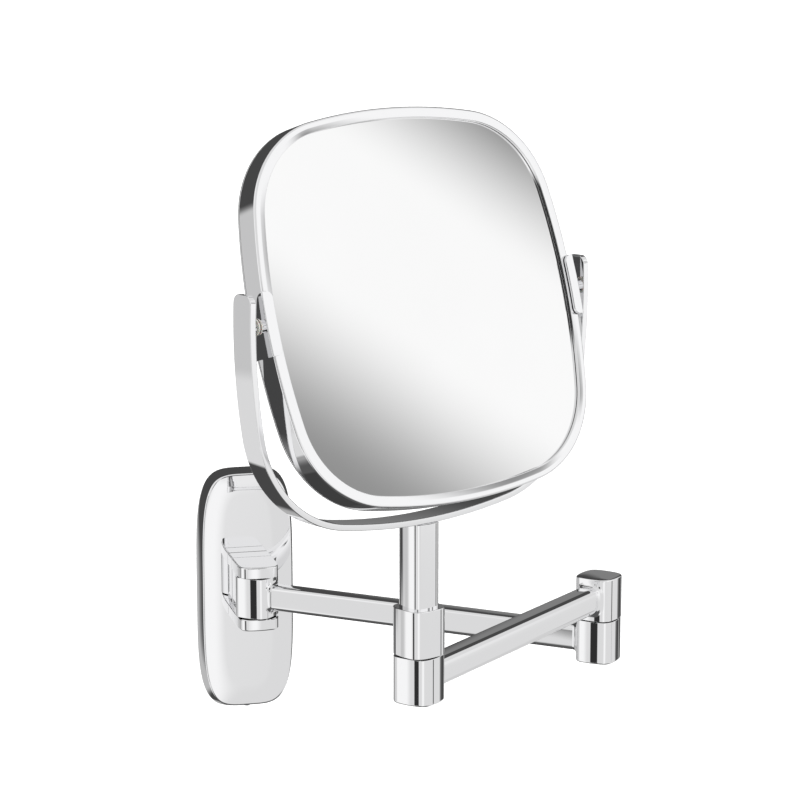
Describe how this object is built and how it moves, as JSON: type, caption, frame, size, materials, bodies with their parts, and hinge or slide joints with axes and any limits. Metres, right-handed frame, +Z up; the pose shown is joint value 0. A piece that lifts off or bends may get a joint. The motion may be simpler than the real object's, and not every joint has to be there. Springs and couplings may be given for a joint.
{
  "type": "extendable shaving mirror",
  "caption": "Wall-mounted shaving mirror: a soft square double-sided tilting head in a U-shaped yoke on a two-part swing arm, in polished chrome.",
  "frame": {"origin": "centre of the wall cover, on the wall plane, which is the back of the mounting bracket and of the cover's rim", "axes": "+Y out of the back into the wall, +Z up, +X along the wall, to the right as seen from the room, which is towards -Y"},
  "size_m": [0.2434, 0.3641, 0.379],
  "materials": {
    "polished_chrome": "mirror-bright chrome plating on brass",
    "zinc_steel": "bright zinc-plated steel",
    "spring_steel": "plain spring steel, lightly oiled",
    "white_nylon": "natural white nylon, as moulded",
    "mirror_glass": "silvered mirror glass",
    "grey_foam": "closed-cell foam"
  },
  "bodies": {
    "wall_side": {"wall_cover": "polished_chrome", "mounting_bracket": "zinc_steel", "cover_grub_screw": "zinc_steel", "hinge_base": "polished_chrome", "hinge_clevis": "polished_chrome", "clevis_screw_upper": "zinc_steel", "clevis_screw_lower": "zinc_steel", "wall_hinge_pin": "zinc_steel"},
    "rear_arm": {"rear_arm_tube": "polished_chrome", "rear_arm_wall_knuckle": "polished_chrome", "rear_arm_elbow_knuckle": "polished_chrome", "wall_bush_upper": "white_nylon", "wall_bush_lower": "white_nylon", "elbow_bush_upper": "white_nylon", "elbow_bush_lower": "white_nylon", "elbow_cap": "polished_chrome"},
    "front_arm": {"front_arm_tube": "polished_chrome", "front_arm_elbow_knuckle": "polished_chrome", "front_arm_post_knuckle": "polished_chrome", "elbow_bolt": "zinc_steel", "elbow_spring_washer": "spring_steel", "post_bush_upper": "white_nylon", "post_bush_lower": "white_nylon", "post_cap": "polished_chrome"},
    "yoke": {"post_collar": "polished_chrome", "yoke_post": "polished_chrome", "yoke_band": "polished_chrome", "post_bolt": "zinc_steel", "post_spring_washer": "spring_steel", "pivot_stud_left": "polished_chrome", "pivot_stud_right": "polished_chrome", "pivot_spacer_left": "polished_chrome", "pivot_spacer_right": "polished_chrome", "pivot_ring_left": "spring_steel", "pivot_ring_right": "spring_steel"},
    "mirror_head": {"front_bezel": "polished_chrome", "rear_bezel": "polished_chrome", "front_glass": "mirror_glass", "rear_glass": "mirror_glass", "glass_packing": "grey_foam", "pivot_clip_left": "polished_chrome", "pivot_clip_right": "polished_chrome", "pivot_bush_left": "white_nylon", "pivot_bush_right": "white_nylon"}
  },
  "joints": [
    {"name": "wall_swing", "type": "hinge", "parent": "wall_side", "child": "rear_arm", "pos_m": [0, -0.03875, 0.0167], "axis": [0, 0, 1], "range_deg": [-140.2, 39.8]},
    {"name": "elbow_swing", "type": "hinge", "parent": "rear_arm", "child": "front_arm", "pos_m": [0.16387, -0.17529, 0.0167], "axis": [0, 0, 1], "range_deg": [-83.6, 276.4]},
    {"name": "post_swivel", "type": "hinge", "parent": "front_arm", "child": "yoke", "pos_m": [0.03064, -0.30306, 0.0407], "axis": [0, 0, 1], "continuous": true},
    {"name": "head_tilt", "type": "hinge", "parent": "yoke", "child": "mirror_head", "pos_m": [0.03064, -0.30306, 0.21285], "axis": [0.8965, 0.4431, 0], "continuous": true}
  ]
}
